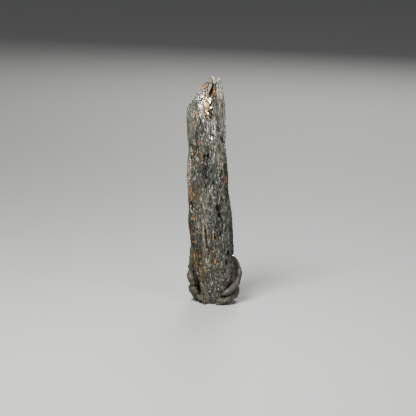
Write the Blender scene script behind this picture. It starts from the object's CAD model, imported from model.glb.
# %% [markdown]
# # A splinter of iridescent hematite in mounting putty
#
# The real object is two things: a long broken splinter of fibrous hematite, and the pinch of grey-brown
# putty that a collector pressed round its foot so that it would stand. Both have a plain solid in the
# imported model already. This lesson gives each one its real skin, and never moves or resizes it.

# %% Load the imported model
import math
import random

import bmesh
import bpy
from mathutils import Matrix, Vector, noise
from mathutils.bvhtree import BVHTree


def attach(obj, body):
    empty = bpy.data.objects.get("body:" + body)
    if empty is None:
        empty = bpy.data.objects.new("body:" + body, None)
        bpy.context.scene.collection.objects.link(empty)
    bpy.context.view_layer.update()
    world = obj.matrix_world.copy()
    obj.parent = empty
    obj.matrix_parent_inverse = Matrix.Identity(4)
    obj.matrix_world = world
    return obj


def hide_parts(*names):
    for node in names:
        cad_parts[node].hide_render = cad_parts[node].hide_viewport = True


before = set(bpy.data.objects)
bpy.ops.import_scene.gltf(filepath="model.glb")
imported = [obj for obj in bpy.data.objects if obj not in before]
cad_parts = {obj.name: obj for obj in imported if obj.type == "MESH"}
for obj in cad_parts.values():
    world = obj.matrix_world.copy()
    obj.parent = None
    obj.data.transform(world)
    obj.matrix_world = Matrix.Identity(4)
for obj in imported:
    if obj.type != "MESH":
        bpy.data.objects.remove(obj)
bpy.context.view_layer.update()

MM = 0.001
NOISE_SEED = 5
noise.seed_set(NOISE_SEED)  # noise_vector would otherwise start from the clock
print("nodes:", sorted(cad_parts))

# %% [markdown]
# The stone was measured from a plumb line through its foot, so the features on it are easiest to place from
# there too. Every place below is in millimetres from that line, with heights from the surface it stands on.

# %% The plumb line
PLUMB = Vector((-0.51, -1.12, 0.0)) * MM
WELD = 1e-6  # points closer than this are one point


def in_mm(place):
    return (place - PLUMB) / MM


def from_plumb(x, y, height):
    """The other way round: a place in metres, from its millimetres off the plumb line."""
    return PLUMB + Vector((x, y, height)) * MM


def eased(low, high, value):
    """0 below low, 1 above high, and a smooth ramp between them."""
    share = min(1.0, max(0.0, (value - low) / (high - low)))
    return share * share * (3 - 2 * share)


def drawn_out(spot, across, along, shift=(0, 0, 0), kind=noise.noise):
    """Noise with one scale across the stone and a slower one along it."""
    return kind(Vector((spot.x * across, spot.y * across, spot.z * along)) + Vector(shift))


def new_piece(name, shape):
    """Turns a bmesh into an object that sits at the origin."""
    mesh = bpy.data.meshes.new(name)
    shape.to_mesh(mesh)
    shape.free()
    piece = bpy.data.objects.new(name, mesh)
    bpy.context.scene.collection.objects.link(piece)
    return piece


print("plumb line at", [round(number, 2) for number in PLUMB / MM], "mm")

# %% [markdown]
# ## The stone's skin
#
# Fibrous hematite grows as a bundle of fine needles. A splinter breaks along them, so its faces are
# ladders of overlapping slivers, with dark clefts between them. A bump map would draw that in shading only,
# and leave the outline smooth. So the solid's own triangles are divided until they are finer than a sliver,
# and every point is moved in or out along its normal: then the slivers cast real shadows.

# %% Divide the solid's skin
PANELS = 5  # cuts in each edge of the solid's triangles
SMOOTHINGS = 8
CROWN_SMOOTHINGS = 2  # the broken tips above CROWN_FROM stay crisp
CROWN_FROM = 78.0 * MM


def fine_copy(node):
    """A welded copy of a solid, divided finely, with the solid's flat facets eased away."""
    shape = bmesh.new()
    shape.from_mesh(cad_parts[node].data)
    bmesh.ops.remove_doubles(shape, verts=shape.verts, dist=WELD)
    bmesh.ops.subdivide_edges(shape, edges=shape.edges, cuts=PANELS, use_grid_fill=True)
    soft = shape.verts[:]
    for step in range(SMOOTHINGS):
        if step == CROWN_SMOOTHINGS:
            soft = [vert for vert in soft if vert.co.z < CROWN_FROM]
        bmesh.ops.smooth_vert(shape, verts=soft, factor=0.5, use_axis_x=True, use_axis_y=True,
                              use_axis_z=True)
    bmesh.ops.triangulate(shape, faces=shape.faces)
    shape.normal_update()
    return shape


stone_shape = fine_copy("hematite_splinter")
print("stone skin:", len(stone_shape.faces), "triangles")

# %% [markdown]
# The fibres lean with the stone and wander a little. A point's fibre place straightens them out, so that
# sliding along a fibre changes only its last number. Every pattern on the stone is read at that place, and
# so they all follow the same grain.

# %% Fibre places
LEAN = 0.056  # how far the fibres lean to the left for each unit of height
BROAD_BENDS, FINE_BENDS = (0.11, 0.04), (0.45, 0.13, (7, 3, 1))  # scale across, scale along, and shift
WANDER, SLIDE = 0.22, 1.5  # how far the fine bends move a place across the fibres, and along them


def fibre_place(spot):
    broad = drawn_out(spot, *BROAD_BENDS, kind=noise.noise_vector)
    fine = drawn_out(spot, *FINE_BENDS, kind=noise.noise_vector)
    x = spot.x + LEAN * spot.z + broad.x + WANDER * fine.x
    y = spot.y + broad.y + WANDER * fine.y
    return Vector((x, y, spot.z + SLIDE * fine.z))


print("the fibres lean", round(math.degrees(math.atan(LEAN)), 1), "degrees")

# %% [markdown]
# Slivers come in three sizes, one on top of another. Each size is a Voronoi pattern stretched along the
# grain. A cell is one sliver: it gets its own height and its own tilt, which makes the small steps where
# slivers end, and the gap between two cells becomes a cleft.

# %% Slivers and clefts
SLIVERS = [  # width, length over width, step in height, depth of the clefts, how far their tones differ
    (2.5, 6.0, 0.15, 0.05, 0.08),
    (1.05, 4.5, 0.1, 0.07, 0.14),
    (0.42, 3.6, 0.09, 0.09, 0.34),
]
CLEFT_WALLS = (0.02, 0.2)  # a cleft is open this near to a cell's rim, and closed this far from it
SLIVER_TILT = 1.2
HEIGHT_KEY, TILT_KEY = 37, 91  # a cell's middle times these looks up its own height and tilt
THREADS, THREAD_RISE = (3.0, 0.3), 0.16
CRUMBS, CRUMB_RISE = (2.6, 1.2, (4, 9, 2)), 0.1


def sliver_relief(fibre):
    """How high the slivers stand at a fibre place, how deep in a cleft it is, and the slivers' own tone."""
    height, cleft, tone = 0.0, 0.0, 0.0
    for width, slenderness, step, depth, contrast in SLIVERS:
        spot = Vector((fibre.x / width, fibre.y / width, fibre.z / (width * slenderness)))
        distances, middles = noise.voronoi(spot)
        own, tilt = noise.cell(middles[0] * HEIGHT_KEY), noise.cell(middles[0] * TILT_KEY)
        open_share = 1 - eased(*CLEFT_WALLS, distances[1] - distances[0])
        height += step * (own + SLIVER_TILT * tilt * (spot.z - middles[0].z)) - depth * open_share
        cleft = max(cleft, open_share)
        tone += (own - 0.5) * contrast
    return height, cleft, tone


def thread_relief(fibre):
    """The finest threads of the grain, and the crumbly granules between them."""
    threads, crumbs = drawn_out(fibre, *THREADS), drawn_out(fibre, *CRUMBS)
    return THREAD_RISE * (0.5 - abs(threads)) + CRUMB_RISE * crumbs


print("widths of the slivers:", [sliver[0] for sliver in SLIVERS], "mm")

# %% [markdown]
# Some marks are known one by one: the slot that splits the crown, long fissures, and small dark pits. Each
# is a short path on the broad face with a half width and a depth, and its walls are steep.

# %% Fissures and pits of the broad face
def path_marks(*rows):
    """Marks as (half width, amount, path), from rows in which the numbers of the path just follow."""
    return [(row[0], row[1], list(zip(row[2::2], row[3::2]))) for row in rows]


CUTS = path_marks(  # half width, depth, then x and height of each point of the path
    (0.42, 0.95, -1, 81.8, -1.2, 80.5, -1.6, 79.2, -2, 77.7), (0.18, 0.5, -1.3, 83.7, -1, 81.6),
    (0.28, 0.35, 0.3, 83.3, 0.2, 81.3, -0.1, 78.6), (0.26, 0.55, 2.6, 74.9, 2.7, 73),
    (0.3, 0.35, -3, 83.4, -2.9, 80.6, -3, 79), (0.35, 0.8, -2.4, 72.3, -1.8, 71.3),
    (0.36, 1.2, -0.55, 67.5, -0.5, 66.1), (0.62, 1.35, -0.5, 65.9, -0.5, 65.5),
    (0.26, 0.8, -1.4, 63.9, -0.5, 63.6, 0, 62.3), (0.5, 1, 2.4, 62.8, 3.1, 61.2, 3.5, 60.4),
    (0.25, 0.5, -7.4, 69.8, -7.5, 68.1), (0.36, 1, -8.3, 55.3, -8.6, 53.8),
    (0.3, 0.95, -8.4, 46.3, -8.3, 45), (0.5, 1, -8, 38, -7.5, 35), (0.4, 0.8, 1.8, 37.3, 2.3, 35.2),
    (0.5, 0.9, 2.4, 34.6, 2.9, 33.2, 3.2, 31.8), (0.3, 0.5, 3.2, 31.6, 3.1, 30.5),
    (0.42, 0.85, -2.4, 56.3, -1.8, 54.8), (0.3, 0.75, -3.5, 56.1, -3.4, 55.4),
    (0.5, 0.45, -3.2, 52.1, -2.6, 49.9), (0.35, 0.85, -0.9, 50.8, -0.5, 49.6),
    (0.4, 0.75, 0, 46.4, 0.5, 45), (0.31, 1.05, -2.6, 29.9, -2.1, 26.1, -1.5, 21.4),
    (0.28, 1.1, -2, 25.6, -1.7, 23.4, -1.5, 21.2), (0.3, 0.6, -5.7, 26, -5.7, 25.4),
    (0.48, 0.8, 1.1, 25.9, 1.6, 25), (0.5, 0.95, -5.4, 21.9, -5.4, 21.6), (0.42, 1, -5.2, 20.2, -5, 19),
    (0.48, 0.95, -4.2, 18.9, -4.2, 18.6), (0.4, 0.9, 0, 21.2, 0.1, 20.4), (0.32, 0.6, 1.6, 17.1, 1.6, 17),
    (0.56, 0.8, 6.2, 20.3, 6.5, 18.6), (0.48, 0.8, 5.9, 16.9, 6.1, 15.3), (0.34, 0.9, 3.3, 27.6, 2.9, 26),
    (0.4, 0.4, -5.7, 12.1, -4.6, 8.5, -3.4, 5.1),
)
print("fissures and pits:", len(CUTS))

# %% How a mark is read
BROAD_FACE_Y = 0.5  # the marks lie on the part of the skin in front of this
MARK_TAPER = 0.65  # a mark's width at its ends, as a share of its width in the middle
MARK_RAGGED, MARK_EDGE = 0.3, (0.45, 1.15)  # its uneven outline, and where its edge starts and ends
MARK_REACH = 2.0


def distance_to_path(x, height, path):
    """How far a place on the face is from a path, in millimetres, and how far along the path that is."""
    nearest, where = 1e9, 0.0
    for index, ((x1, z1), (x2, z2)) in enumerate(zip(path, path[1:])):
        along_x, along_z = x2 - x1, z2 - z1
        span_squared = max(along_x * along_x + along_z * along_z, 1e-9)
        share = min(1.0, max(0.0, ((x - x1) * along_x + (height - z1) * along_z) / span_squared))
        away = math.hypot(x - x1 - along_x * share, height - z1 - along_z * share)
        if away < nearest:
            nearest, where = away, (index + share) / (len(path) - 1)
    return nearest, where


def marks_at(spot, marks):
    """The strongest of some marks at a place, as (share, amount). Marks far up or down are passed over."""
    found = (0.0, 0.0)
    if spot.y > BROAD_FACE_Y:
        return found
    ragged = MARK_RAGGED * noise.noise(Vector((spot.x * 2.2, 5.0, spot.z * 0.9)))
    for half_width, amount, path in marks:
        if path[-1][1] - MARK_REACH < spot.z < path[0][1] + MARK_REACH:
            away, along = distance_to_path(spot.x, spot.z, path)
            tapered = MARK_TAPER + (1 - MARK_TAPER) * math.sin(math.pi * along)
            share = 1 - eased(*MARK_EDGE, away / (half_width * tapered) + ragged)
            if share > found[0]:
                found = (share, amount)
    return found


print("the slot in the crown is", marks_at(Vector((-1.2, -5, 80.5)), CUTS)[1], "mm deep")

# %% [markdown]
# Rust is the orange-brown iron oxide that water left in the clefts. It is a coating, so it follows its own
# paths on the skin, and where it is thick it hides the metal. Bright marks are clean crystal faces that
# happen to shine at the viewer, and the gold ones are tarnished.

# %% Rust, silver and gold
RUST = path_marks(  # half width, strength, then x and height of each point of the path
    (0.62, 1.15, -3.5, 81.3, -4.3, 80.8, -5.1, 80.1), (0.5, 1.05, -0.7, 79.6, -0.9, 77.7),
    (0.34, 0.62, -0.4, 81, -0.5, 80), (0.55, 0.42, -1.7, 84.3, -2.2, 83.4, -2.9, 82.4),
    (0.5, 0.3, -2.9, 82.2, -3.1, 80), (0.6, 0.46, -1.1, 81, -1.5, 79.4, -2, 77.9),
    (0.42, 1.05, -6.8, 71.9, -6.5, 70.4), (0.22, 0.65, -6.2, 69.3, -6.1, 68.1),
    (0.26, 0.75, -7.4, 69.2, -7.4, 68.1, -7.2, 66.5), (0.2, 0.6, 2.4, 74.6, 2.5, 73.2),
    (0.23, 1.15, -5.5, 61.7, -5.3, 59.4), (0.18, 0.8, -5.2, 58.9, -4.9, 57.6),
    (0.25, 0.95, -4.8, 57.3, -4.3, 54.4), (0.2, 0.6, -4.3, 54, -4.3, 52.5),
    (0.3, 1, -7.8, 57.6, -7.9, 55.7), (0.25, 0.81, -8.2, 53.9, -8.2, 50.9),
    (0.41, 0.9, -9.3, 49.7, -9.1, 47.8), (0.56, 0.62, -8.3, 47.2, -8.3, 44.4),
    (0.68, 0.8, -8.3, 44.6, -8.1, 41.6, -7.7, 38.2), (0.35, 1.15, 4.9, 48.1, 5, 45.7),
    (0.33, 0.45, 4.5, 45.3, 4.5, 43.2), (0.5, 0.9, -6.9, 32.7, -6.8, 31.8),
    (0.54, 0.68, -7.6, 28.2, -7.4, 25.7), (0.34, 0.8, -7, 23.6, -6.9, 22.6),
    (0.44, 0.8, -6.9, 19.6, -6.4, 17.4, -5.7, 15.4, -5.3, 13.3),
    (0.36, 0.68, -3.8, 16, -3.8, 12.8, -3.6, 9.9, -3.4, 7.6), (0.22, 0.95, -2.8, 29.7, -2.5, 26),
    (0.4, 0.3, -2.1, 26, -1.5, 21.6), (0.5, 0.9, 0.6, 26.4, 0.9, 25.3),
    (0.42, 0.72, 1.9, 25.5, 2.1, 24.8), (0.4, 0.66, -5.4, 22.2, -5.3, 21.6),
    (0.62, 0.62, -5, 20.6, -4.6, 19.2, -4.2, 17.6), (0.42, 0.62, 0.5, 20.2, 0.5, 18.8),
    (0.27, 0.36, 0.9, 18.4, 0.9, 18.2), (0.38, 1.15, 1.7, 17.4, 1.6, 16),
    (0.47, 0.33, -3.8, 47, -3.3, 44.8), (0.42, 0.36, -4.7, 41.9, -4.7, 39.6),
    (0.36, 0.85, 2.4, 62.4, 2.9, 61.2), (0.45, 0.26, -2.7, 70.5, -2.5, 66.5, -2.3, 63),
)
BRIGHT = path_marks(
    (1.05, 1, -4.6, 79.6, -5.2, 77.1, -5.4, 74.7, -4.9, 72, -4.7, 70.2),
    (1.5, 0.9, -4.9, 79.9, -6.1, 77.6, -6.5, 76), (0.46, 1, -2, 77, -2, 75),
    (0.32, 1, -1.5, 73.7, -1.5, 73.4), (0.36, 1, -3.6, 82.1, -3.6, 81.9),
    (0.34, 1, -0.9, 62.9, -0.9, 62.3), (0.22, 0.4, -5.6, 12.9, -4.1, 9.2, -2.6, 5.4),
    (0.26, 0.7, -0.9, 80.6, -0.9, 80.4), (0.5, 0.7, -3, 70.4, -2.8, 65.6),
    (0.5, 0.5, -4.3, 70.2, -4.3, 68.4), (0.22, 0.8, 3.5, 61.9, 3.6, 61.3),
)
GOLD = path_marks(
    (0.95, 1, -3.4, 78.4, -3.3, 76.2, -3, 74.4, -2.9, 72.3, -3.1, 70.3), (0.7, 0.4, -2, 77, -1.9, 75.2),
)
print("rust lines:", len(RUST), "bright marks:", len(BRIGHT) + len(GOLD))

# %% [markdown]
# Other marks are broad zones: pale or dark, smooth, smeared with putty, or under a film of oxide. They are
# paths as well, but wide ones whose edges fade slowly.

# %% Broad zones
LIGHT = path_marks(  # broad pale stretches
    (1, 0.6, -1, 84.8, -0.4, 82), (0.8, 0.7, -2, 82.6, -2.8, 79.2), (0.5, 1.1, -0.6, 71, -0.6, 69.4),
    (0.9, 1.1, -0.5, 68.9, -0.3, 64.6), (0.8, 0.9, 3, 82, 3.5, 75, 3.9, 64), (0.9, 0.3, 4.1, 60, 4.4, 47),
    (1.1, 1, 0.6, 63.6, 0.8, 55), (1.2, 0.6, 0.9, 84, 1.2, 80.9, 1.8, 76.2),
    (1, 0.3, 1.9, 75.1, 2.1, 72.7, 2.7, 65.3), (1.2, 0.5, -8.9, 68, -8.9, 62),
    (0.8, 0.5, 0, 44.1, -0.7, 41.4), (1.2, 0.3, 0.7, 58, 1.3, 52.4, 1.4, 48.4),
    (0.9, 0.4, -2.8, 24.5, -1.9, 16.2), (2.6, 0.5, -5.1, 78.5, -4.9, 73.1),
    (0.9, 0.7, -8.9, 57, -8.7, 40), (1, 0.6, -0.7, 42.4, 1.2, 37.4), (0.8, 1.15, -3, 74.2, -2.9, 70.4),
    (0.8, 0.6, -2.3, 31, -1.9, 24),
)
DARK = path_marks(  # and broad dark ones
    (0.7, 0.7, -0.2, 81, 0, 74.8), (0.8, 1.2, -1.2, 77, -1.5, 74.8),
    (1, 2, -1.5, 74.6, -1.5, 72.7, -1.3, 70.9), (1, 0.6, -5.2, 69.4, -5, 64),
    (1, 0.6, -6.7, 63.6, -6.5, 54.1), (1.4, 1.5, -2.9, 55.2, -3.1, 52.1, -2.6, 46.2),
    (1, 1.3, 4.9, 51.2, 5.2, 45, 5.4, 40), (0.9, 1.6, 2.8, 49.2, 3, 46.4),
    (0.7, 0.8, -1.2, 63, -0.9, 60.6), (0.9, 0.6, -0.8, 34.4, -0.6, 25), (0.9, 0.7, -0.2, 21.4, 1.4, 19),
    (0.9, 0.7, -8.4, 39.4, -8.3, 33.2), (1.2, 1.6, -7.9, 29.6, -7.3, 22, -5.9, 16),
    (2.2, 0.8, -5, 24.2, -3.6, 8.8), (0.8, 0.8, -0.6, 40, -0.6, 37), (1.1, 1.2, 7.1, 30.8, 7.8, 18.2),
    (1, 1.4, 5.4, 15.6, 5.4, 8.6), (2.2, 0.35, -6.6, 59.5, -6.2, 50),
    (2.4, 0.3, -6, 45, -5.8, 35, -5.2, 26), (0.9, 0.6, -0.4, 46.7, 1.1, 44.8),
    (1.3, 0.3, 1.4, 41, 3.5, 39.6), (1.5, 1.5, 2.1, 36.4, 2.6, 33.6, 2.9, 29.8),
    (1.1, 0.6, -7.4, 74.8, -6.2, 73.2), (1, 0.6, 6.1, 21.5, 7, 16.2), (1.6, 0.4, 0, 22.2, -0.4, 10),
    (4.5, 0.22, 2, 56, 3, 40, 3.5, 31), (5, 0.42, 4, 28, 3, 18, 1, 3),
)
CALM = path_marks(  # smooth stretches, where the fibres lie close and don't sparkle
    (1.4, 0.9, -9.2, 72.1, -9.1, 67, -8.9, 61.1), (1, 0.9, -7.5, 74.2, -6.8, 73.5, -5.9, 72.4),
    (1.7, 0.8, -4.2, 59.1, -3.6, 54.4, -3.8, 48.9), (1.5, 0.7, -5.9, 51.5, -5.2, 43),
    (1.1, 1, -0.6, 70.5, -0.3, 67.6, -0.2, 64.3), (1.2, 0.7, 2.3, 57, 2.7, 49),
    (1.7, 0.6, -3.6, 24.5, -3, 15.2), (0.8, 0.9, -0.7, 84.6, -0.6, 82.2),
    (0.7, 0.8, -2, 82.8, -2.7, 79.2), (1.2, 0.6, -0.1, 77.5, 0, 71.5), (1, 0.5, -6.6, 31.5, -6.2, 24.5),
    (1, 0.5, 3.4, 24.5, 4.2, 19.5),
)
SMEARS = path_marks(  # where putty was smeared thinly onto the stone
    (1.8, 1, -3.8, 5.4, -2.8, 3.2, -1.4, 0.6), (0.9, 0.7, 5.5, 13.4, 5.7, 10.8),
    (0.7, 0.8, -7.6, 21, -7, 15),
)
BLUE = path_marks(  # stretches with the thin blue and teal film
    (1.3, 0.9, -0.6, 70.4, -0.3, 64.4), (3.2, 0.9, -0.9, 52.7, 0.9, 39.6, 1.5, 32.2),
    (3, 0.2, 1.5, 28, 1.1, 17.2, -0.1, 3.2), (2.4, 0.45, 3.2, 47, 5.1, 32.1, 6.2, 20.7),
    (2.2, 0.55, -8.6, 73, -8.2, 62), (1.4, 0.35, -5, 70, -4.8, 62),
)
KHAKI = path_marks(  # and with the yellower one
    (2, 0.9, 2.3, 61.2, 3.4, 52.5, 3.8, 49.2), (2.2, 0.3, -5.9, 60.4, -6, 46.9, -5.5, 40.8),
    (2.2, 0.5, -5.1, 34.8, -4.6, 29.9, -4.4, 13.8), (1.9, 0.9, 0.9, 78.4, 1.2, 70.8),
    (1.8, 0.7, -1.6, 21, -1.2, 8), (1.3, 0.5, 2.6, 27, 3, 17),
)
print("pale and dark zones:", len(LIGHT) + len(DARK))

# %% How strong a mark is at a place
ZONE_RAGGED, ZONE_EDGE = 0.5, (0.3, 1.3)  # a broad zone's uneven outline, and its slow edge
ZONE_REACH, ZONE_SQUEEZE = 3.0, 0.6  # in half widths; distances along the height count for less


def paint_strength(spot, marks):
    share, amount = marks_at(spot, marks)
    return share * amount


def zone_strength(spot, marks):
    """The same for broad zones, whose edges fade slowly, and which end on the narrow sides."""
    strength = 0.0
    if spot.y < BROAD_FACE_Y + 1.5:
        ragged = ZONE_RAGGED * drawn_out(spot, 0.9, 0.22)
        for half_width, amount, path in marks:
            reach = ZONE_REACH * half_width
            if path[-1][1] - reach < spot.z < path[0][1] + reach:
                squeezed = [(x, height * ZONE_SQUEEZE) for x, height in path]
                away = distance_to_path(spot.x, spot.z * ZONE_SQUEEZE, squeezed)[0]
                strength = max(strength, amount * (1 - eased(*ZONE_EDGE, away / half_width + ragged)))
    return strength * (1 - eased(BROAD_FACE_Y - 2.0, BROAD_FACE_Y + 1.5, spot.y))


print("rust by the left shoulder:", round(paint_strength(Vector((-4.3, -5, 80.8)), RUST), 2))

# %% [markdown]
# Rust also sits in clefts that no list names, on every side of the stone, but only in some stretches of it.
# One slow noise chooses the stretches.

# %% Paint
STRAY_RUST_FROM = 0.26  # the slow noise must pass this before a cleft is rusty
RUSTY_STRETCHES, CALM_STRETCHES = (0.55, 0.1, (2, 8, 5)), (0.35, 0.08, (1, 5, 9))
FILM_PATCHES, FILM_BENDS, FILM_WANDER = (0.42, 0.09, (6, 2, 4)), (0.5, 0.16), 1.6
PAINTS = ("cleft", "rust", "bright", "gold", "shade", "film", "calm", "smear")


def stray_rust(spot, fibre, cleft):
    stretch = eased(STRAY_RUST_FROM, STRAY_RUST_FROM + 0.2, drawn_out(fibre, *RUSTY_STRETCHES))
    hidden_side = 0.25 + 0.75 * eased(-2.5, 0.5, spot.y)
    return hidden_side * stretch * eased(0.35, 0.8, cleft)


def calm_at(spot, fibre):
    """How smooth the stone is at a place: by the list on the broad face, and by a slow noise elsewhere."""
    patches = eased(0.12, 0.4, drawn_out(fibre, *CALM_STRETCHES))
    hidden_side = 0.35 + 0.65 * eased(-1.0, 2.0, spot.y)
    return max(zone_strength(spot, CALM), 0.8 * hidden_side * patches)


def film_at(spot, fibre):
    """Which film of oxide covers a place: below 0 it is yellowish, and above 0 it is blue."""
    patches = drawn_out(fibre, *FILM_PATCHES) * (1.1 + 0.4 * eased(-1.0, 2.0, spot.y))
    spot = spot + FILM_WANDER * drawn_out(fibre, *FILM_BENDS, kind=noise.noise_vector)
    return 0.5 * (zone_strength(spot, BLUE) - zone_strength(spot, KHAKI)) + patches


def paint(vert, layers, fibre, cleft, tone, shine=0.0):
    """Keeps for the materials what lies at one point of the skin, in the order of the paints."""
    spot = in_mm(vert.co)
    rust = max(paint_strength(spot, RUST), 0.8 * stray_rust(spot, fibre, cleft))
    bright, gold = max(paint_strength(spot, BRIGHT), shine), paint_strength(spot, GOLD)
    shade = zone_strength(spot, LIGHT) - zone_strength(spot, DARK) + tone
    values = (cleft, rust, bright, gold, shade, film_at(spot, fibre), calm_at(spot, fibre),
              zone_strength(spot, SMEARS), fibre)
    for layer, value in zip(layers, values):
        vert[layer] = value


def paint_layers(shape):
    numbers = shape.verts.layers.float
    return [numbers.new(name) for name in PAINTS] + [shape.verts.layers.float_vector.new("grain")]


print("paints:", ", ".join(PAINTS))

# %% [markdown]
# Now every point gets its paint and moves along its own normal: out with the slivers and threads, in with
# the clefts and cuts. The knife edges of the foot and crown are thin, so they move less.

# %% Shape and paint the skin
HIGHEST, SINK = 0.35, 0.12  # the tallest relief, and how far the whole skin sits back to make room for it
CROWN_EASE, CALM_EASE = 0.55, 0.55  # how much of the relief goes at the crown, and where the stone is calm


def edge_fade(spot):
    return eased(0.0, 5.0, spot.z) * (1 - CROWN_EASE * eased(74.0, 84.0, spot.z))


def shape_skin(shape):
    layers = paint_layers(shape)
    for vert, normal in [(vert, vert.normal.copy()) for vert in shape.verts]:
        spot = in_mm(vert.co)
        fibre = fibre_place(spot)
        height, cleft, tone = sliver_relief(fibre)
        height = (height + thread_relief(fibre)) * edge_fade(spot) * (1 - CALM_EASE * calm_at(spot, fibre))
        depth = paint_strength(spot, CUTS)
        paint(vert, layers, fibre, max(0.6 * cleft, eased(0.1, 0.8, depth)), tone)
        vert.co += normal * (min(HIGHEST, height) - SINK - depth) * MM
    shape.normal_update()


shape_skin(stone_shape)
skin_places = [(face.calc_center_median(), face.normal.copy()) for face in stone_shape.faces]
skin_tree = BVHTree.FromBMesh(stone_shape)
stone = new_piece("stone_skin", stone_shape)
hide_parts("hematite_splinter")
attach(stone, "root")
print("stone skin shaped:", len(stone.data.vertices), "points")

# %% [markdown]
# ## Loose slivers and grains
#
# A displaced skin can't overhang, and broken fibres do: their ends stick up as separate blades, and some
# zones are crusted with tiny shiny grains. Both are real small shapes, set on the skin along the grain and
# joined into one mesh each. They are made a batch at a time, because adding to a small mesh is quick.

# %% Set small shapes on the skin
BATCH = 150
rng = random.Random(17)


def stand_on_skin(place, normal, tilts):
    """A matrix with its Z along the grain and its Y out of the skin, turned a little about each axis.

    tilts holds the least and the most for each axis, in radians."""
    up = Vector((-LEAN, 0.0, 1.0))
    along = (up - normal * up.dot(normal)).normalized()
    side = along.cross(normal).normalized()
    turned = Matrix((side, normal, along)).transposed().to_4x4()
    lift, swing, turn = (Matrix.Rotation(rng.uniform(*limits), 4, axis)
                         for axis, limits in zip("XYZ", tilts))
    return Matrix.Translation(place) @ turned @ (lift @ swing @ turn)


def pour(batch, whole):
    """Moves a batch into the whole mesh, and gives back a new empty one."""
    part = bpy.data.meshes.new("batch")
    batch.to_mesh(part)
    batch.free()
    whole.from_mesh(part)
    bpy.data.meshes.remove(part)
    return bmesh.new()


def scatter(count, wanted, add_one):
    """Adds count shapes to one new mesh. wanted is the share of places to keep, and add_one makes one."""
    whole = bmesh.new()
    batch, made = bmesh.new(), 0
    while made < count:
        place, normal = rng.choice(skin_places)
        if rng.random() > wanted(in_mm(place), normal) or not add_one(batch, place, normal):
            continue
        made += 1
        if made % BATCH == 0 or made == count:
            batch = pour(batch, whole)
    batch.free()
    bmesh.ops.triangulate(whole, faces=whole.faces)
    return whole


print("places on the skin:", len(skin_places))

# %% Paint loose pieces
def linked_verts(start, seen):
    """Every point of the loose piece that a point belongs to, each also marked as seen."""
    piece, queue = [], [start]
    seen.add(start.index)
    while queue:
        near = queue.pop()
        piece.append(near)
        for other in (edge.other_vert(near) for edge in near.link_edges):
            if other.index not in seen:
                seen.add(other.index)
                queue.append(other)
    return piece


def paint_pieces(shape, tones=(-0.4, 0.5), shiny_share=0.0, known=()):
    """Paints loose pieces as the skin under them, with a tone each: a known one, or a random one."""
    layers = paint_layers(shape)
    shape.verts.index_update()
    seen, known = set(), list(known)
    for vert in shape.verts:
        if vert.index in seen:
            continue
        tone = known.pop(0) if known else rng.uniform(*tones)
        shine = rng.uniform(0.5, 1.0) if rng.random() < shiny_share else 0.0
        for near in linked_verts(vert, seen):
            spot = in_mm(near.co)
            paint(near, layers, fibre_place(spot), marks_at(spot, CUTS)[0], tone, shine)


# %% [markdown]
# A blade is a broken end of fibre: a thin faceted taper that lies along the grain. It is a cone with few
# sides, pressed flat. It stays only where both of its ends are close to the skin, because on a bump or
# over a hollow it would float.

# %% Blades of broken fibre
BLADES = 1500
BLADE_LENGTH, BLADE_WIDTH = (0.8, 2.6), (0.18, 0.46)  # shortest and longest, in millimetres
BLADE_TILTS = ((-0.05, 0.05), (-0.08, 0.08), (-0.5, 0.5))
SIDES = (4, 5, 6)
FLATNESS = (0.35, 0.6)  # thickness over width
HUG = 0.16  # the ends of a blade are no further than this from the skin


def on_skin(place):
    return skin_tree.find_nearest(place, HUG * MM)[0] is not None


def blade_share(spot, normal):
    if spot.z < 3.0 or abs(normal.z) > 0.6:
        return 0.0
    return (1 - 0.8 * zone_strength(spot, CALM)) * (0.45 + 0.55 * eased(68.0, 80.0, spot.z))


def add_blade(batch, place, normal):
    """One blade, if both of its ends lie on the skin too."""
    length, width = rng.uniform(*BLADE_LENGTH) * MM, rng.uniform(*BLADE_WIDTH) * MM
    stand = stand_on_skin(place, normal, BLADE_TILTS)
    if not all(on_skin(stand @ Vector((0, 0, end * length))) for end in (-0.5, 0.5)):
        return False
    flat = Matrix.Diagonal((1.0, rng.uniform(*FLATNESS), 1.0, 1.0))
    bmesh.ops.create_cone(batch, segments=rng.choice(SIDES), radius1=width / 2,
                          radius2=width / 2 * rng.uniform(0.25, 0.8), depth=length, cap_ends=True,
                          matrix=stand @ flat)
    return True


blade_shape = scatter(BLADES, blade_share, add_blade)
paint_pieces(blade_shape)
blades = new_piece("broken_fibre_blades", blade_shape)
print("blades:", len(blades.data.polygons), "triangles")

# %% [markdown]
# The crown's larger broken faces are plates with straight edges. Each is an outline on the broad face, laid
# flat on the skin behind it and given a thickness, so that its rim is crisp. Three small ones lean back, to
# mirror the light above to someone in front. The last is the smooth pale wedge under the crown, with a dark
# hole where a cut passes through it.

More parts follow.
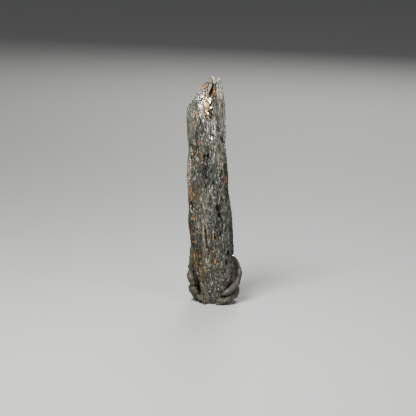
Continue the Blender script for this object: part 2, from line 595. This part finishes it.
# %% Plates of the crown
PLATES = [  # thickness, proud of the skin, share of its slope, slope right and up, (x, height) outline
    (0.9, 0.12, 1, -0.2, 0.15, [(-1.4, 85), (-0.6, 84.5), (0.15, 83.6), (0.15, 82.6), (-0.6, 81.9),
                                (-1.1, 82.4), (-1.3, 83.6)]),
    (0.7, 0.12, 1, 0.25, 0.1, [(-1.5, 83.7), (-1.2, 82), (-1.8, 80.3), (-2.5, 78.8), (-3.2, 78.6),
                               (-2.8, 80), (-2.2, 81.8)]),
    (1.1, 0.12, 1, -0.15, 0.05, [(0.9, 84.7), (1.5, 83.8), (2.1, 82.1), (2.6, 79.7), (2.6, 76.6),
                                 (1.5, 76.7), (0.7, 79.2), (0.45, 82), (0.4, 83.7)]),
    (0.6, 0.12, 1, 0.1, 0.4, [(-4.5, 81.2), (-3.5, 81.7), (-3.3, 80.8), (-4.4, 80.1), (-5.3, 80)]),
    (0.5, 0.45, 0, -0.22, 0.58, [(-2.4, 76.7), (-1.7, 76.9), (-1.6, 75.8), (-1.9, 74.9), (-2.3, 75.1)]),
    (0.5, 0.45, 0, -0.22, 0.58, [(-1.8, 73.9), (-1.2, 73.9), (-1.2, 73.2), (-1.7, 73.1)]),
    (0.6, 0.5, 0, -0.22, 0.62, [(-1.2, 63.2), (-0.8, 63.2), (-0.6, 62.1), (-1, 61.9)]),
    (0.8, 0.28, 1, -0.06, 0.08, [(-0.8, 71.1), (-0.4, 70.9), (0.2, 67.6), (0.6, 64.6), (0.3, 63),
                                 (-0.3, 64.3), (-1, 63.7), (-1.4, 64.6), (-1.3, 66.9)]),
]
PLATE_BEVEL = 0.05
PLATE_HALVINGS, LONGEST_EDGE = 5, 0.3  # longer edges are halved, so that a plate holds its paint finely
FLUSH_TONE, MIRROR_TONE = 0.1, 1.15  # of the plates that follow the skin, and of those that lean back
SIGHT = 30.0  # the skin is looked for from this far in front
INNER = 0.6  # a plate is laid by the skin under this share of its outline
print("plates of the crown:", len(PLATES))


# %% Lay the plates on the skin
def skin_y(x, height):
    """Where the skin of the broad face is at a place, in millimetres, or nothing past the outline."""
    hit = skin_tree.ray_cast(from_plumb(x, -SIGHT, height), Vector((0, 1, 0)))[0]
    return None if hit is None else in_mm(hit).y


def lie_of_skin(outline):
    """The skin behind an outline, as a plane: its middle, and its slopes along x and along the height."""
    middle_x, middle_z = (sum(values) / len(outline) for values in zip(*outline))
    spokes = [(x - middle_x, z - middle_z) for x, z in outline]
    inner = [skin_y(middle_x + x * INNER, middle_z + z * INNER) for x, z in spokes]
    known = [(x, z, y) for (x, z), y in zip(spokes, inner) if y is not None]
    middle_y = sum(y for _, _, y in known) / len(known)
    slopes = [sum(place[axis] * (place[2] - middle_y) for place in known)
              / (sum(place[axis] ** 2 for place in known) * INNER) for axis in (0, 1)]
    return (middle_x, middle_y, middle_z), slopes


def plate_shape(thickness, proud, follow, rightward, upward, outline):
    (middle_x, middle_y, middle_z), (slope_x, slope_z) = lie_of_skin(outline)
    slope_x = follow * max(-0.5, min(0.5, slope_x)) + rightward
    slope_z = follow * max(-0.3, min(0.6, slope_z)) + upward
    shape = bmesh.new()
    corners = []
    for x, z in outline:
        y = middle_y - proud + slope_x * (x - middle_x) + slope_z * (z - middle_z)
        corners.append(shape.verts.new(from_plumb(x, y, z)))
    face = shape.faces.new(corners)
    grown = bmesh.ops.extrude_face_region(shape, geom=[face])
    bmesh.ops.translate(shape, vec=(0, thickness * MM, 0),
                        verts=[item for item in grown["geom"] if isinstance(item, bmesh.types.BMVert)])
    bmesh.ops.recalc_face_normals(shape, faces=shape.faces)
    bmesh.ops.bevel(shape, geom=shape.edges[:], offset=PLATE_BEVEL * MM, affect="EDGES", segments=1,
                    profile=0.5, material=-1)
    bmesh.ops.triangulate(shape, faces=shape.faces)
    for _ in range(PLATE_HALVINGS):
        long_edges = [edge for edge in shape.edges if edge.calc_length() > LONGEST_EDGE * MM]
        bmesh.ops.subdivide_edges(shape, edges=long_edges, cuts=1)
        bmesh.ops.triangulate(shape, faces=shape.faces)
    return shape


crown_shape = bmesh.new()
for plate in PLATES:
    pour(plate_shape(*plate), crown_shape).free()
paint_pieces(crown_shape, known=[FLUSH_TONE if plate[2] else MIRROR_TONE for plate in PLATES])
crown = new_piece("crown_plates", crown_shape)
print("plates:", len(crown.data.polygons), "triangles")

# %% [markdown]
# The brightest stretches of the crown are crusts of small flat chips. Each chip leans its own way, mostly
# back and a little to the left, so some of them flash while their neighbours stay dark.

# %% Chips of the bright stretches
CHIPS = 420
CHIP_SIZE, CHIP_WIDTH, CHIP_LENGTH = (0.32, 0.85), (0.5, 0.9), (0.9, 1.5)  # the last two over the size
CHIP_TILTS = ((0.1, 0.9), (-0.4, 0.4), (-0.3, 0.7))
CHIPS_ABOVE = 68.0


def chip_share(spot, normal):
    if spot.z < CHIPS_ABOVE:
        return 0.0
    return max(paint_strength(spot, BRIGHT), paint_strength(spot, GOLD), 0.5 * paint_strength(spot, RUST))


def add_chip(batch, place, normal):
    size = rng.uniform(*CHIP_SIZE) * MM
    stand = stand_on_skin(place, normal, CHIP_TILTS)
    flat = Matrix.Diagonal([rng.uniform(*limits) for limits in (CHIP_WIDTH, FLATNESS, CHIP_LENGTH)] + [1.0])
    lying = Matrix.Rotation(math.pi / 2, 4, "X")
    bmesh.ops.create_cone(batch, segments=rng.choice(SIDES), radius1=size / 2, radius2=size * 0.4,
                          depth=size, cap_ends=True, matrix=stand @ flat @ lying)
    return True


chip_shape = scatter(CHIPS, chip_share, add_chip)
paint_pieces(chip_shape)
chips = new_piece("crown_chips", chip_shape)
print("chips:", len(chips.data.polygons), "triangles")

# %% [markdown]
# The grains are the smallest crystals, turned every way, so that a few always face a light. They crowd low
# on the right and where a slow noise says, and stay off the calm stretches. One in seven shines.

# %% Shiny grains
GRAINS = 3200
GRAIN_SIZE = (0.16, 0.46)
GRAIN_TONES, SHINY_GRAINS = (-0.35, 0.4), 0.14
CRUSTS = (0.35, 0.12, (9, 9, 3))


def grain_share(spot, normal):
    crust = eased(0.05, 0.35, drawn_out(spot, *CRUSTS))
    low_right = (1 - eased(14.0, 30.0, spot.z)) * eased(-3.0, 2.0, spot.x)
    return (1 - 0.8 * zone_strength(spot, CALM)) * (0.1 + 0.5 * low_right + 0.5 * crust)


def add_grain(batch, place, normal):
    size = rng.uniform(*GRAIN_SIZE) * MM
    angle, axis = rng.uniform(0, 6.28), Vector((rng.random(), rng.random(), rng.random() + 0.1))
    shape = Matrix.Diagonal((size, size * rng.uniform(0.6, 1.0), size * rng.uniform(0.3, 0.7), 1.0))
    bmesh.ops.create_cone(batch, segments=6, radius1=0.5, radius2=0.42, depth=0.7, cap_ends=True,
                          matrix=Matrix.Translation(place) @ Matrix.Rotation(angle, 4, axis) @ shape)
    return True


grain_shape = scatter(GRAINS, grain_share, add_grain)
paint_pieces(grain_shape, GRAIN_TONES, SHINY_GRAINS)
grains = new_piece("shiny_grains", grain_shape)

for small in (blades, crown, chips, grains):
    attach(small, "root")
print("grains:", len(grains.data.polygons), "triangles")

# %% [markdown]
# ## The putty
#
# Somebody rolled the putty between finger and thumb, wound it round the foot and pressed it on. So it is
# made the same way: rolls are laid round the foot as strings of balls, a fine lattice melts them into one
# lump, and the creases left between the rolls are the real creases of kneaded putty.

# %% Rolls and lumps of putty
ROLLS = {  # each is a line of (x, y, height, radius)
    "heel": [(-5.3, 3.2, 2.2, 2.2), (-3.2, 5, 2.4, 2.6), (1.4, 6, 2.2, 2.9), (6, 4.8, 2.4, 2.7),
             (8.6, 2, 2.6, 2.2)],
    "fold": [(-7, 2.6, 12.4, 1.6), (-3.4, 5.4, 9.6, 2.2), (1.6, 6.4, 7.4, 2.4), (6.4, 4.6, 6.6, 2.2),
             (8.9, 1.6, 8.2, 1.7)],
    "collar": [(-7.2, 1.8, 15.6, 0.9), (-5.4, 4.4, 17.2, 1.4), (-1, 5.6, 16.6, 1.9),
               (4.2, 4.8, 14.2, 1.9), (8.8, 1.6, 12.4, 1.3)],
    "left_wall": [(-7.3, 1, 20.8, 0.4), (-7.3, 0.3, 18.2, 0.85), (-7.1, -0.2, 14.8, 1.15),
                  (-6.9, 0, 11.6, 1.1)],
    "left_thumb": [(-7.6, 0.9, 11.4, 0.7), (-7.7, -0.5, 10.2, 1.25), (-7.2, -1.6, 8.6, 1.45),
                   (-6.5, -1.9, 7.2, 1.05)],
    "left_toe": [(-6.5, 1.2, 5, 1.4), (-6.6, -0.6, 4.7, 1.7), (-6.2, -1.6, 4.3, 1.75),
                 (-5.6, -2.3, 3.9, 1.3)],
    "smear": [(-4.4, -3.4, 2.5, 0.6), (-3.4, -4.4, 1.9, 0.65), (-2.5, -5, 1.2, 0.65),
              (-1.9, -5.3, 0.6, 0.6)],
    "right_sheet": [(8.2, 0.8, 17.4, 0.5), (8.8, 0.9, 14.6, 1.1), (9.2, 1, 11.8, 1.5),
                    (8.6, 0.4, 9.4, 1.5)],
    "right_thumb": [(9, 0.7, 16.4, 0.5), (10.1, 0.1, 14.2, 0.8), (10.7, -0.6, 11.6, 0.9),
                    (10.4, -1.6, 9.2, 1), (9.1, -3.1, 7, 1.2), (7.2, -4.7, 5.4, 1.25),
                    (5.1, -5.5, 4.3, 0.9)],
    "right_toe": [(8, 4, 4.2, 2.2), (9.3, 1.4, 4.4, 1.8), (9.3, -1.2, 4, 1.6), (8, -3.3, 2.9, 1.65),
                  (6.1, -4.8, 1.8, 1.5), (4, -5.6, 1.1, 1.2), (2.6, -5.9, 0.8, 0.8)],
}
LUMPS = [  # the middle, and the size along x, y and z
    ((1.3, 2, 1.2), (15, 12, 4.6)), ((-2.8, 3.8, 8.6), (9.6, 7, 16)), ((4.2, 3.8, 7.4), (10.4, 7.6, 14)),
    ((-5.7, 1.6, 8.6), (3.4, 4.6, 13)), ((7.6, 0.9, 8.2), (4.6, 5.4, 13.6)),
]
print("rolls:", ", ".join(ROLLS))

# %% Melt the rolls together
BALL_STEP = 0.45  # the balls of a roll are this far apart
LATTICE = 0.22
SOFTENING = 1
UNEVEN = 0.07  # how much a roll's radius varies


def along_roll(line, share):
    """A place on the smooth line through a roll's points, with its radius."""
    scaled = share * (len(line) - 1)
    index = min(int(scaled), len(line) - 2)
    local = scaled - index
    before, start, end, after = (line[max(0, min(len(line) - 1, index + step))] for step in (-1, 0, 1, 2))
    return [0.5 * (2 * b + (c - a) * local + (2 * a - 5 * b + 4 * c - d) * local ** 2
                   + (3 * b - a - 3 * c + d) * local ** 3) for a, b, c, d in zip(before, start, end, after)]


def lay_roll(shape, line):
    length = sum((Vector(a[:3]) - Vector(b[:3])).length for a, b in zip(line, line[1:]))
    balls = max(2, round(length / BALL_STEP))
    for ball in range(balls + 1):
        x, y, height, radius = along_roll(line, ball / balls)
        radius *= 1 + UNEVEN * noise.noise(Vector((x, y, height)) * 0.9)
        place = Matrix.Translation(from_plumb(x, y, height))
        bmesh.ops.create_icosphere(shape, subdivisions=2, radius=radius * MM, matrix=place)


def kneaded():
    """The rolls and lumps, melted together on the lattice."""
    shape = bmesh.new()
    for line in ROLLS.values():
        lay_roll(shape, line)
    for middle, size in LUMPS:
        place = Matrix.Translation(from_plumb(*middle)) @ Matrix.Diagonal((*size, 1.0))
        bmesh.ops.create_icosphere(shape, subdivisions=4, radius=MM / 2, matrix=place)
    rough = new_piece("rough_putty", shape)
    melt = rough.modifiers.new("melt", "REMESH")
    melt.mode = "VOXEL"
    melt.voxel_size = LATTICE * MM
    soften = rough.modifiers.new("soften", "SMOOTH")
    soften.factor = 0.5
    soften.iterations = SOFTENING
    seen = rough.evaluated_get(bpy.context.evaluated_depsgraph_get())
    mesh = bpy.data.meshes.new_from_object(seen)
    bpy.data.objects.remove(rough)
    whole = bmesh.new()
    whole.from_mesh(mesh)
    bpy.data.meshes.remove(mesh)
    return whole


putty_shape = kneaded()
print("kneaded putty:", len(putty_shape.faces), "faces")

# %% [markdown]
# Thumbs leave shallow dents, and the surface puckers where a roll was bent. Then the lump is cut flat where
# it was pressed onto the surface that it stands on.

# %% Dents, puckers and the flat underside
DENTS = [  # the middle of a push, its reach and its depth
    ((9.6, -0.9, 13.2), 2.4, 0.35), ((8.2, -2.6, 9.6), 2, 0.45), ((7.4, -5.9, 4.4), 1.6, 0.2),
    ((-8.4, -1.2, 8.4), 1.5, 0.15), ((-6.6, -2.8, 4.2), 1.4, 0.15), ((3, 8.4, 9), 3.4, 0.7),
    ((-4.6, 7, 12), 3, 0.6), ((9.8, 4.6, 7), 2.6, 0.5), ((-1, 8.6, 4.2), 2.2, 0.4),
]
PUCKERS = [(0.36, 0.6, 0.26), (1.1, 1.0, 0.14), (2.4, 1.0, 0.06)]  # waves in a millimetre, flattening, rise
KNOBBLY_BELOW, KNOBS = 4.2, 0.55  # the lowest roll was squeezed out and is the most uneven in front


def press(shape):
    for vert, normal in [(vert, vert.normal.copy()) for vert in shape.verts]:
        spot = in_mm(vert.co)
        rise = 0.0
        for waves, flattening, amount in PUCKERS:
            place = Vector((spot.x, spot.y, spot.z / flattening)) * waves + Vector((3, 1, 7))
            rise += amount * noise.noise(place)
        front = 1 - eased(-2.0, 1.0, spot.y)
        rise += KNOBS * front * (1 - eased(2.5, KNOBBLY_BELOW, spot.z)) * noise.noise(spot * 0.85)
        for middle, reach, depth in DENTS:
            rise -= depth * (1 - eased(0.0, reach, (spot - Vector(middle)).length))
        vert.co += normal * rise * MM


def cut_flat(shape):
    cut = bmesh.ops.bisect_plane(shape, geom=shape.verts[:] + shape.edges[:] + shape.faces[:], dist=WELD,
                                 plane_co=(0, 0, 0), plane_no=(0, 0, -1), clear_outer=True)
    rim = [item for item in cut["geom_cut"] if isinstance(item, bmesh.types.BMEdge)]
    bmesh.ops.edgeloop_fill(shape, edges=rim)
    bmesh.ops.triangulate(shape, faces=shape.faces)
    bmesh.ops.recalc_face_normals(shape, faces=shape.faces)
    shape.normal_update()


press(putty_shape)
cut_flat(putty_shape)
print("pressed with", len(DENTS), "dents:", len(putty_shape.faces), "triangles")

# %% [markdown]
# Dust gathers in the creases, so the material needs to know where they are. A point in a crease lies behind
# the middle of its neighbours. Averaging that over a few rings of neighbours gives a soft map of hollows.

# %% Map the hollows
HOLLOW_RINGS, HOLLOW_GAIN = 6, 100


def map_hollows(shape):
    hollow = shape.verts.layers.float.new("hollow")
    shape.verts.ensure_lookup_table()
    near = [[edge.other_vert(vert).index for edge in vert.link_edges] for vert in shape.verts]
    values = []
    for vert, ring in zip(shape.verts, near):
        middle = sum((shape.verts[index].co for index in ring), Vector()) / len(ring)
        values.append((middle - vert.co).dot(vert.normal) / MM)
    for _ in range(HOLLOW_RINGS):
        values = [0.5 * values[index] + 0.5 * sum(values[other] for other in ring) / len(ring)
                  for index, ring in enumerate(near)]
    for vert, value in zip(shape.verts, values):
        vert[hollow] = value * HOLLOW_GAIN


putty_shape.verts.index_update()
map_hollows(putty_shape)
putty = new_piece("kneaded_putty", putty_shape)
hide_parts("mounting_putty")
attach(putty, "root")
print("putty:", len(putty.data.polygons), "triangles")

# %% [markdown]
# ## The finishes
#
# A finish is a tree of nodes, and each node does one small sum. Each of these helpers adds one node and
# gives back its output, so that a finish reads like a recipe: start with this, lay that over it.

# %% A few helpers for node trees
UNDER_SOCKET, OVER_SOCKET, MIXED_SOCKET = 6, 7, 2  # the colour sockets of a Mix node share their names


def new_material(name):
    material = bpy.data.materials.new(name)
    material.use_nodes = True
    return material, material.node_tree.nodes["Principled BSDF"]


def put(value, socket):
    """Links a socket, or sets it to a plain number or colour. A socket knows its own node tree."""
    if isinstance(value, bpy.types.NodeSocket):
        socket.id_data.links.new(value, socket)
    else:
        socket.default_value = (*value, 1.0) if socket.type == "RGBA" else value


def add_node(tree, kind, inputs, **settings):
    """Adds a node, chooses its settings, fills its inputs, and gives back its outputs."""
    node = tree.nodes.new("ShaderNode" + kind)
    for name, setting in settings.items():
        setattr(node, name, setting)
    for name, value in inputs.items():
        put(value, node.inputs[name])
    return node.outputs


def attribute(tree, name, output="Fac"):
    return add_node(tree, "Attribute", {}, attribute_name=name)[output]


def stretched(place, scale, shift=(0, 0, 0)):
    inputs = {"Vector": place, "Scale": scale, "Location": shift}
    return add_node(place.id_data, "Mapping", inputs)["Vector"]


def cloud(place, scale, shift=(0, 0, 0), detail=3.0, roughness=0.6):
    place = stretched(place, scale, shift)
    inputs = {"Vector": place, "Scale": 1.0, "Detail": detail, "Roughness": roughness}
    return add_node(place.id_data, "TexNoise", inputs)["Fac"]


def ramp(value, stops, interpolation="LINEAR"):
    """A colour ramp from (place, colour) stops."""
    node = value.id_data.nodes.new("ShaderNodeValToRGB")
    node.color_ramp.interpolation = interpolation
    elements = node.color_ramp.elements
    while len(elements) < len(stops):
        elements.new(0.5)
    for element, (place, colour) in zip(elements, stops):
        element.position = place
        element.color = (*colour, 1.0)
    put(value, node.inputs["Fac"])
    return node.outputs["Color"]


def grey(level):
    return (level, level, level)


def span(value, low, high, out_low=0.0, out_high=1.0):
    """Maps low..high of a value to out_low..out_high, held at the ends."""
    inputs = {"Value": value, "From Min": low, "From Max": high, "To Min": out_low, "To Max": out_high}
    return add_node(value.id_data, "MapRange", inputs, interpolation_type="SMOOTHSTEP")["Result"]


def blended(share, under, over, kind="MIX"):
    """over laid on under, by a share."""
    inputs = {"Factor": share, UNDER_SOCKET: under, OVER_SOCKET: over}
    return add_node(under.id_data, "Mix", inputs, data_type="RGBA", blend_type=kind)[MIXED_SOCKET]


def figure(kind, first, second, clamp=True):
    """One sum of two numbers, held between 0 and 1 where it is clamped."""
    return add_node(first.id_data, "Math", {0: first, 1: second}, operation=kind, use_clamp=clamp)["Value"]


def plus(first, second):
    return figure("ADD", first, second, clamp=False)


def arrow(kind, first, inputs):
    """The same for directions, with the other inputs by name or number."""
    return add_node(first.id_data, "VectorMath", {0: first, **inputs}, operation=kind)["Vector"]


def bumped(height, distance, strength, under=None):
    inputs = {"Strength": strength, "Distance": distance, "Height": height}
    if under is not None:
        inputs["Normal"] = under
    return add_node(height.id_data, "Bump", inputs)["Normal"]


# %% [markdown]
# ## The stone's finish
#
# Broken hematite is a grey metal, and each needle end catches the light or not: at arm's length it is a
# speckle of near black, grey and silver, drawn out along the grain. A skin of oxide a few hundred atoms
# thick adds faint blues, straw yellows and violets. One colour with a bump could not do that, so the
# speckle is a noise read at the fibre place, and the tarnish colours are slow patches laid over it.

# %% The colours of hematite
SPECKLE = [(0.3, (0.035, 0.035, 0.032)), (0.42, (0.147, 0.145, 0.126)), (0.55, (0.303, 0.3, 0.262)),
           (0.7, (0.79, 0.77, 0.7))]
FILMS = [(0.1, (0.34, 0.33, 0.225)), (0.36, (0.31, 0.31, 0.252)), (0.56, (0.287, 0.29, 0.266)),
         (0.72, (0.245, 0.29, 0.287)), (0.9, (0.2, 0.28, 0.292))]
FLASHES = [(0.3, (0.42, 0.37, 0.21)), (0.42, grey(0.28)), (0.56, grey(0.28)), (0.66, (0.32, 0.23, 0.31)),
           (0.76, (0.2, 0.32, 0.24))]
SILVER = [(0.39, (0.025, 0.025, 0.028)), (0.48, (0.27, 0.263, 0.265)), (0.56, (0.95, 0.915, 0.86)),
          (0.62, (1.0, 0.975, 0.92))]
TARNISHED_GOLD = [(0.37, (0.035, 0.023, 0.01)), (0.45, (0.26, 0.138, 0.04)), (0.52, (0.84, 0.56, 0.22)),
                  (0.6, (1.0, 0.85, 0.52))]
DARK_CLEFT = (0.018, 0.017, 0.014)
PIT_BROWN = (0.042, 0.018, 0.009)
RUST_STAIN = (0.075, 0.03, 0.011)
RUST_COATS = [(0.33, (0.055, 0.012, 0.003)), (0.43, (0.21, 0.062, 0.005)), (0.53, (0.45, 0.18, 0.008)),
              (0.64, (0.74, 0.36, 0.02))]
SMEAR_COLOURS = [(0.4, (0.035, 0.028, 0.018)), (0.55, (0.1, 0.085, 0.055)), (0.68, (0.2, 0.17, 0.115))]
CELL_CONTRAST = 0.075  # how far the tones of neighbouring crystals part
FACET_TILT = 0.75  # how far the normals of neighbouring crystals part
NEEDLE_RISE, GRIT_RISE = 0.22 * MM, 0.12 * MM
print("tones of the speckle:", len(SPECKLE), "films:", len(FILMS))


# %% The recipe for hematite
def tilted_normals(cells, amount):
    """Gives every crystal its own flat normal, so that each one mirrors a different part of the light."""
    lean = arrow("SCALE", arrow("SUBTRACT", cells, {1: grey(0.5)}), {"Scale": amount})
    normal = add_node(cells.id_data, "NewGeometry", {})["Normal"]
    return arrow("NORMALIZE", arrow("ADD", normal, {1: lean}), {})


def hematite():
    material, shader = new_material("iridescent_hematite")
    tree = material.node_tree
    grain = attribute(tree, "grain", "Vector")
    cleft, rust, bright, gold, shade, film, calm, smear = [attribute(tree, name) for name in PAINTS]

    # The speckle: threads, with a tone for each crystal, and the oxide films over them.
    cells = {"Scale": 1, "Vector": stretched(grain, (3.4, 3.4, 0.85))}
    crystals = add_node(tree, "TexVoronoi", cells)["Color"]
    threads = cloud(grain, (4.4, 4.4, 1), roughness=0.66)
    quiet = span(calm, 0, 1, 1, 0.35)
    own = span(crystals, 0, 1, -CELL_CONTRAST, CELL_CONTRAST)
    level = figure("MULTIPLY", plus(figure("SUBTRACT", threads, 0.5, clamp=False), own), quiet, clamp=False)
    level = plus(level, span(shade, -1.6, 1.6, 0.324, 0.676))
    colour = ramp(level, SPECKLE)
    films = ramp(span(film, -1, 1), FILMS, "EASE")
    colour = blended(0.62, colour, blended(1, colour, films, "OVERLAY"))
    flashes = ramp(cloud(grain, (0.8, 0.8, 0.2), (31, 5, 2), detail=2), FLASHES, "EASE")
    colour = blended(0.4, colour, blended(1, colour, flashes, "OVERLAY"))

    # Silver and gold, which break up at their edges, and the dark of the clefts.
    patches = cloud(grain, (2.2, 2.2, 1.2), (4, 4, 8))
    edge = span(patches, 0.3, 0.7, -0.45, 0.25)
    sparkle = plus(plus(threads, own), own)
    sparkle = plus(sparkle, span(patches, 0.35, 0.6, -0.08, 0.04))
    sparkle = plus(sparkle, span(shade, 0.9, 1.4, 0, 0.14))
    for share, stops in ((bright, SILVER), (gold, TARNISHED_GOLD)):
        colour = blended(span(plus(share, edge), 0.1, 0.5), colour, ramp(sparkle, stops))
    colour = blended(span(cleft, 0.35, 1, 0, 0.9), colour, DARK_CLEFT)

    # Rust, first as a thin stain and then as a coat, with brown pits, and the smears of putty.
    crust = cloud(grain, (2.3, 2.3, 1.1), (9, 1, 4), 4, 0.72)
    ragged = plus(rust, span(crust, 0.3, 0.7, -0.5, 0.26))
    colour = blended(span(ragged, 0.1, 0.45, 0, 0.8), colour, RUST_STAIN)
    coat = plus(crust, span(ragged, 0.45, 1.3, -0.15, 0.09))
    colour = blended(span(ragged, 0.38, 0.62), colour, ramp(coat, RUST_COATS))
    rusty_pit = figure("MULTIPLY", span(cleft, 0.7, 1, 0, 0.85), span(rust, 0.02, 0.25))
    colour = blended(rusty_pit, colour, PIT_BROWN)
    streaks = cloud(grain, (2.2, 2.2, 0.35), (5, 5, 1))
    smeared = span(plus(smear, span(streaks, 0.35, 0.65, -0.55, 0.15)), 0.1, 0.45, 0, 0.9)
    colour = blended(smeared, colour, ramp(threads, SMEAR_COLOURS))
    put(colour, shader.inputs["Base Color"])

    # Clean metal shines, and rust and smears are dull.
    shining = figure("MAXIMUM", bright, gold)
    metal = figure("MULTIPLY", span(ragged, 0.15, 0.6, 1, 0), span(shining, 0.1, 0.6, 0.76, 0.96))
    put(figure("SUBTRACT", metal, smeared), shader.inputs["Metallic"])
    sheen = span(cloud(grain, (1.6, 1.6, 0.5), (3, 3, 3)), 0.3, 0.7, 0.58, 0.3)
    sheen = figure("SUBTRACT", sheen, span(shining, 0.2, 1, 0, 0.18))
    dull = figure("MAXIMUM", span(ragged, 0.2, 0.6, 0, 0.8), figure("MULTIPLY", smeared, 0.6))
    put(figure("MAXIMUM", sheen, dull), shader.inputs["Roughness"])

    # The smallest relief: crystals that tilt, needles, and grit.
    tilt = figure("MULTIPLY", quiet, span(shining, 0.2, 1, FACET_TILT, 0.4 * FACET_TILT))
    rough = span(shining, 0.2, 0.9, 0.8, 0.12)
    needles, grit = cloud(grain, (4.2, 4.2, 0.5)), cloud(grain, (5.5, 5.5, 2.2), roughness=0.7)
    normal = bumped(needles, NEEDLE_RISE, rough, tilted_normals(crystals, tilt))
    put(bumped(grit, GRIT_RISE, rough, normal), shader.inputs["Normal"])
    return material


hematite_finish = hematite()
for piece in (stone, blades, crown, chips, grains):
    piece.data.materials.append(hematite_finish)
stone.data.shade_smooth()
print("hematite finish:", len(hematite_finish.node_tree.nodes), "nodes")

# %% [markdown]
# ## The putty's finish
#
# The putty is a matte grey-brown clay with a faint greasy sheen where fingers pressed it smooth. It is
# yellower where it was kneaded thin, darker in its creases, and peppered with grey dust from the stone.

# %% Putty
CLAY = [(0.3, (0.019, 0.0158, 0.0098)), (0.5, (0.034, 0.0292, 0.0185)), (0.7, (0.058, 0.05, 0.033))]
CLAY_OLIVE, CLAY_DUST, CREASE_DIRT = (0.036, 0.034, 0.015), (0.014, 0.013, 0.012), (0.005, 0.004, 0.003)
CLAY_FOLDS, CLAY_GRIT = 0.5 * MM, 0.12 * MM


def clay():
    material, shader = new_material("grey_brown_putty")
    place = add_node(material.node_tree, "TexCoord", {})["Object"]
    colour = ramp(cloud(place, grey(420)), CLAY)
    olive = span(cloud(place, grey(160), (2, 5, 1), detail=2), 0.45, 0.62, 0, 0.7)
    colour = blended(olive, colour, CLAY_OLIVE)
    hollow = attribute(material.node_tree, "hollow")
    colour = blended(span(hollow, 0.15, 1.3, 0, 0.75), colour, CREASE_DIRT)
    dust = span(cloud(place, grey(2600), detail=2), 0.62, 0.7, 0, 0.7)
    colour = blended(dust, colour, CLAY_DUST)
    put(colour, shader.inputs["Base Color"])
    smeared = cloud(place, (500, 500, 900), (8, 2, 2))
    put(span(smeared, 0.35, 0.65, 0.48, 0.74), shader.inputs["Roughness"])
    folds = cloud(place, (350, 350, 800), (1, 7, 3))
    grit = cloud(place, grey(1500), detail=4, roughness=0.65)
    put(bumped(grit, CLAY_GRIT, 0.6, bumped(folds, CLAY_FOLDS, 0.5)), shader.inputs["Normal"])
    return material


putty.data.materials.append(clay())
putty.data.shade_smooth()
print("putty finish:", len(putty.data.materials[0].node_tree.nodes), "nodes")

# %% [markdown]
# ## The studio
#
# Small polished faces show only by what they mirror, so a small key light close by, above and to the left,
# makes the crown glitter. A large weak light on the right and one behind fill in the rest. The camera has a
# long lens, looks a little down, and leans a little.

# %% Light
AIM = from_plumb(-1.65, 0.0, 35.5)
LIGHTS = {  # place, size, power, and how far above the aim it points
    "key": ((-0.09, -0.15, 0.27), 0.11, 2.1, 0.02),
    "fill": ((0.45, -0.45, 0.25), 0.4, 2.2, 0.0),
    "back": ((0.1, 0.6, 0.4), 0.3, 2.5, 0.0),
}
SKY_COLOUR, SKY_STRENGTH = (0.8, 0.82, 0.85), 0.16


def facing(direction):
    """The turn that makes a light or a camera look in a direction."""
    return direction.to_track_quat("-Z", "Y")


def add_light(name, place, size, power, above):
    light = bpy.data.lights.new(name, "AREA")
    light.size = size
    light.energy = power
    lamp = bpy.data.objects.new(name, light)
    lamp.location = place
    lamp.rotation_euler = facing(AIM + Vector((0, 0, above)) - Vector(place)).to_euler()
    bpy.context.scene.collection.objects.link(lamp)


for light_name, settings in LIGHTS.items():
    add_light(light_name, *settings)

world = bpy.data.worlds.new("studio")
bpy.context.scene.world = world
world.use_nodes = True
sky = world.node_tree.nodes["Background"]
put(SKY_COLOUR, sky.inputs["Color"])
put(SKY_STRENGTH, sky.inputs["Strength"])
print("lights:", ", ".join(LIGHTS))

# %% Floor and camera
FLOOR_COLOUR, FLOOR_ROUGHNESS, FLOOR_SIZE = (0.44, 0.435, 0.42), 0.6, 4.0
DISTANCE, LENS, SENSOR = 0.6, 140.3, 36
ELEVATION, ROLL = math.radians(12), math.radians(1.5)

floor_shape = bmesh.new()
bmesh.ops.create_grid(floor_shape, x_segments=1, y_segments=1, size=FLOOR_SIZE)
floor = new_piece("floor", floor_shape)
floor_material, floor_shader = new_material("pale_floor")
put(FLOOR_COLOUR, floor_shader.inputs["Base Color"])
put(FLOOR_ROUGHNESS, floor_shader.inputs["Roughness"])
floor.data.materials.append(floor_material)

camera = bpy.data.objects.new("camera", bpy.data.cameras.new("camera"))
camera.data.lens = LENS
camera.data.sensor_width = SENSOR
forward = Vector((0, math.cos(ELEVATION), -math.sin(ELEVATION)))
camera.location = AIM - forward * DISTANCE
camera.rotation_euler = (facing(forward).to_matrix() @ Matrix.Rotation(ROLL, 3, "Z")).to_euler()
bpy.context.scene.collection.objects.link(camera)
bpy.context.scene.camera = camera
print("camera at", [round(number, 3) for number in camera.location])
